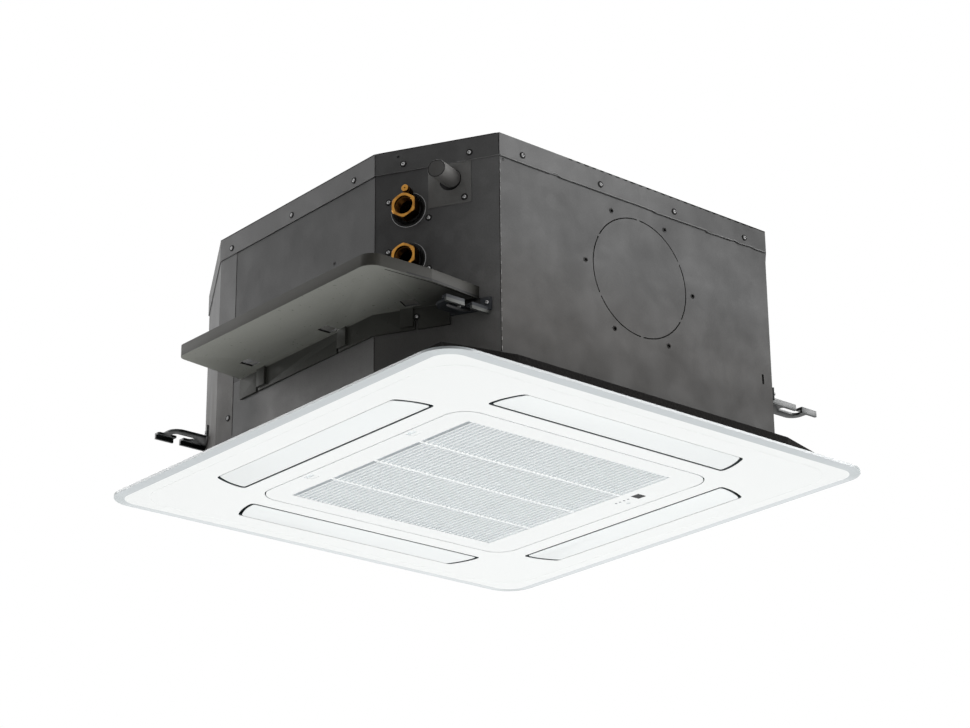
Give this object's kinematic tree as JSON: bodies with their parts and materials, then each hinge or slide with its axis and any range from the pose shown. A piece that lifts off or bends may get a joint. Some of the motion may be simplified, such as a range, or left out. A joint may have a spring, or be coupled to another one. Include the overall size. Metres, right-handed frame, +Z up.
{
  "type": "ceiling cassette fan coil unit",
  "caption": "Ceiling cassette fan coil unit: octagonal sheet casing with water unions, drip tray and slotted hangers, over a square panel with swing vanes and a hinged intake grille.",
  "frame": {"origin": "centre of the hanger slots, on the underside of the hanger plates, which is also the middle of the casing in plan", "axes": "+Z up, away from the panel; the pipe corner with the water unions and the drain points to -X and -Y; the drip tray is on the -X face and the fresh air knock-out on the -Y face"},
  "size_m": [0.7064, 0.648, 0.2865],
  "materials": {
    "galvanised_sheet": "matte",
    "hanger_steel": "satin",
    "screw_steel": "satin",
    "union_brass": "satin",
    "copper": "satin",
    "grommet_rubber": "matte",
    "black_foam": "matte",
    "tray_metal": "satin",
    "coil_aluminium": "satin",
    "motor_housing": "satin",
    "bracket_steel": "satin",
    "black_plastic": "satin",
    "grey_plastic": "matte",
    "pump_plastic": "satin",
    "board_green": "satin",
    "panel_white": "satin",
    "vane_white": "satin",
    "filter_net": "matte",
    "dark_window": "gloss",
    "lens_grey": "gloss",
    "drain_steel": "satin"
  },
  "bodies": {
    "unit": {"side_left": "galvanised_sheet", "side_front": "galvanised_sheet", "side_right": "galvanised_sheet", "side_back": "galvanised_sheet", "corner_pipe": "galvanised_sheet", "corner_left": "galvanised_sheet", "corner_right": "galvanised_sheet", "corner_far": "galvanised_sheet", "top_cover": "galvanised_sheet", "case_liner": "black_foam", "hanger_pipe": "hanger_steel", "hanger_left": "hanger_steel", "hanger_right": "hanger_steel", "hanger_far": "hanger_steel", "case_screws": "screw_steel", "union_upper": "union_brass", "union_lower": "union_brass", "pipe_grommets": "grommet_rubber", "drain_plate": "drain_steel", "drain_stub": "drain_steel", "drip_tray": "tray_metal", "tray_screws": "screw_steel", "drain_pan": "black_foam", "bell_mouth": "grey_plastic", "coil_fins": "coil_aluminium", "coil_tubes": "copper", "coil_plates": "bracket_steel", "fan_motor": "motor_housing", "motor_mount": "bracket_steel", "drain_pump": "pump_plastic", "pump_hose": "pump_plastic", "float_stem": "pump_plastic", "control_box": "bracket_steel", "control_lid": "bracket_steel", "terminal_block": "pump_plastic", "control_board": "board_green", "cable_grommet": "grommet_rubber", "panel_frame": "panel_white", "panel_duct": "black_foam", "vane_motors": "pump_plastic", "hinge_pins": "screw_steel", "panel_screws": "screw_steel"},
    "fan_rotor": {"impeller": "black_plastic", "motor_shaft": "screw_steel"},
    "vane_left": {"vane_left": "vane_white"},
    "vane_front": {"vane_front": "vane_white"},
    "vane_right": {"vane_right": "vane_white"},
    "vane_back": {"vane_back": "vane_white"},
    "grille": {"intake_grille": "panel_white", "receiver_window": "dark_window", "indicator_lenses": "lens_grey", "display_box": "grey_plastic"},
    "filter": {"filter_frame": "grey_plastic", "filter_mesh": "filter_net"},
    "latch_a": {"latch_a": "panel_white"},
    "latch_b": {"latch_b": "panel_white"},
    "button": {"manual_button": "panel_white"},
    "float": {"float_ring": "pump_plastic"},
    "bleed": {"bleed_screw": "union_brass"}
  },
  "joints": [
    {"name": "fan_spin", "type": "hinge", "parent": "unit", "child": "fan_rotor", "pos_m": [0, 0, 0.107], "axis": [0, 0, 1], "continuous": true},
    {"name": "vane_left_swing", "type": "hinge", "parent": "unit", "child": "vane_left", "pos_m": [-0.2305, 0, -0.072], "axis": [0, -1, 0], "range_deg": [0, 60]},
    {"name": "vane_front_swing", "type": "hinge", "parent": "unit", "child": "vane_front", "pos_m": [0, -0.2305, -0.072], "axis": [1, 0, 0], "range_deg": [0, 60]},
    {"name": "vane_right_swing", "type": "hinge", "parent": "unit", "child": "vane_right", "pos_m": [0.2305, 0, -0.072], "axis": [0, 1, 0], "range_deg": [0, 60]},
    {"name": "vane_back_swing", "type": "hinge", "parent": "unit", "child": "vane_back", "pos_m": [0, 0.2305, -0.072], "axis": [-1, 0, 0], "range_deg": [0, 60]},
    {"name": "grille_hinge", "type": "hinge", "parent": "unit", "child": "grille", "pos_m": [0.2001, 0, -0.074], "axis": [0, -1, 0], "range_deg": [0, 90]},
    {"name": "filter_lift", "type": "slide", "parent": "grille", "child": "filter", "axis": [0, 0, 1], "range_m": [0, 0.011]},
    {"name": "latch_a_slide", "type": "slide", "parent": "grille", "child": "latch_a", "axis": [-1, 0, 0], "range_m": [0, 0.005]},
    {"name": "latch_b_slide", "type": "slide", "parent": "grille", "child": "latch_b", "axis": [-1, 0, 0], "range_m": [0, 0.005]},
    {"name": "button_press", "type": "slide", "parent": "grille", "child": "button", "axis": [0, 0, 1], "range_m": [0, 0.0012], "stiffness_N_per_m": 600, "springref_m": -0.0008},
    {"name": "float_rise", "type": "slide", "parent": "unit", "child": "float", "axis": [0, 0, 1], "range_m": [0, 0.015]},
    {"name": "bleed_turn", "type": "hinge", "parent": "unit", "child": "bleed", "pos_m": [-0.26713, -0.19623, 0.15259], "axis": [-0.8745, -0.4851, 0], "range_deg": [0, 360]}
  ]
}
